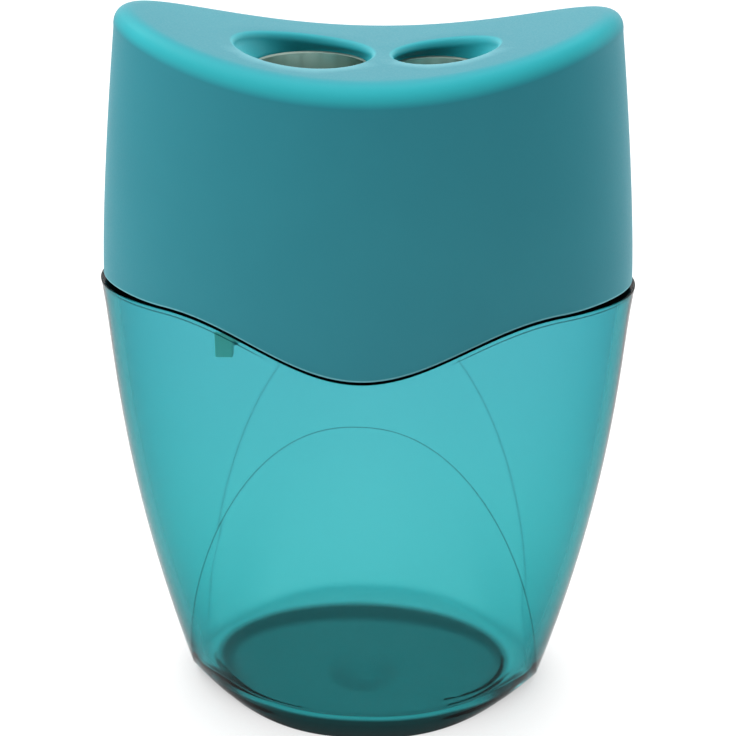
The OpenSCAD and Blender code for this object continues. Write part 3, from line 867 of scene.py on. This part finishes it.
def seen_rays(nodes, links, path):
    """1 for camera, glossy and transmission rays."""
    seen = path.outputs["Is Camera Ray"]
    for kind in ("Is Glossy Ray", "Is Transmission Ray"):
        seen = larger(nodes, links, seen, path.outputs[kind])
    return seen


def mix_shaders(nodes, links, fac, one, two, output):
    """Shader one where fac is 0 and two where it is 1, as the surface of an output node."""
    mix = nodes.new("ShaderNodeMixShader")
    out = nodes.new(output)
    links.new(fac, mix.inputs[0])
    links.new(one.outputs[0], mix.inputs[1])
    links.new(two.outputs[0], mix.inputs[2])
    links.new(mix.outputs[0], out.inputs[0])


def world():
    """White where it is seen, and dim as a light."""
    w = bpy.data.worlds.new("world")
    bpy.context.scene.world = w
    w.use_nodes = True
    nodes, links = w.node_tree.nodes, w.node_tree.links
    nodes.clear()
    path = nodes.new("ShaderNodeLightPath")
    white = add(nodes, "ShaderNodeBackground", Color=(1, 1, 1, 1), Strength=1.0)
    soft = add(nodes, "ShaderNodeBackground", Color=(1, 1, 1, 1), Strength=AMBIENT)
    mix_shaders(nodes, links, seen_rays(nodes, links, path), soft, white,
                "ShaderNodeOutputWorld")


def floor_material():
    """A pale floor that glows where it is seen, less so near the object, as a faint shadow."""
    mat = bpy.data.materials.new("floor_white")
    mat.use_nodes = True
    nodes, links = mat.node_tree.nodes, mat.node_tree.links
    nodes.clear()
    path = nodes.new("ShaderNodeLightPath")
    near = add(nodes, "ShaderNodeAmbientOcclusion", Distance=SHADOW_REACH)
    near.samples = SHADOW_SAMPLES
    shadow = ramp(nodes, links, near.outputs["AO"], 0.0, SHADOW_END, SHADOW_DARK, SHADOW_OPEN)
    glow = add(nodes, "ShaderNodeEmission", Color=(1, 1, 1, 1))
    links.new(larger(nodes, links, shadow, path.outputs["Is Transmission Ray"]),
              glow.inputs["Strength"])
    grey = add(nodes, "ShaderNodeBsdfDiffuse", Color=(*[FLOOR_SEEN_GREY] * 3, 1))
    both = nodes.new("ShaderNodeAddShader")
    links.new(glow.outputs[0], both.inputs[0])
    links.new(grey.outputs[0], both.inputs[1])
    plain = add(nodes, "ShaderNodeBsdfDiffuse", Color=(*[FLOOR_GREY] * 3, 1))
    mix_shaders(nodes, links, seen_rays(nodes, links, path), plain, both,
                "ShaderNodeOutputMaterial")
    return mat


def floor():
    mesh = bpy.data.meshes.new("floor")
    h = FLOOR_HALF
    mesh.from_pydata([(-h, -h, 0), (h, -h, 0), (h, h, 0), (-h, h, 0)], [], [(0, 1, 2, 3)])
    obj = bpy.data.objects.new("floor", mesh)
    bpy.context.scene.collection.objects.link(obj)
    mesh.materials.append(floor_material())


# ---- The object ----
EDGE_SEGMENTS, EDGE_ANGLE, WELD_DISTANCE = 2, math.radians(35), 1e-6


def dress_node(name, mat, edge=0.12):
    """A piece of the part as it is, with its material and edges rounded over edge millimetres."""
    obj = frame["nodes"][name]
    obj.data.materials.clear()
    obj.data.materials.append(mat)
    weld = obj.modifiers.new("weld", "WELD")
    weld.merge_threshold = WELD_DISTANCE
    bevel = obj.modifiers.new("edges", "BEVEL")
    bevel.width = edge * MM
    bevel.segments = EDGE_SEGMENTS
    bevel.limit_method = "ANGLE"
    bevel.angle_limit = EDGE_ANGLE
    bevel.harden_normals = True


receptacle(clear_plastic())
cap(cap_plastic())
dress_node("block_holder", holder_plastic())
block_mat = metal("block_metal", BLOCK_METAL, low=0.28, high=0.42, grain=900, squeeze=(1, 1, 8))
dress_node("sharpener_block", block_mat)
blade_mat = metal("blade_steel", BLADE_STEEL, low=0.15, high=0.3, grain=2500, squeeze=(8, 1, 1))
screw_mat = metal("screw_steel", SCREW_STEEL, low=0.2, high=0.35, grain=1500, squeeze=(1, 1, 1))
for side in ("large", "small"):
    dress_node(side + "_blade", blade_mat, edge=0.05)
    dress_node(side + "_blade_screw", screw_mat, edge=0.08)

world()
floor()
lamps()
camera()

view_settings = bpy.context.scene.view_settings
view_settings.view_transform = "Standard"
bpy.context.scene.cycles.use_denoising = True
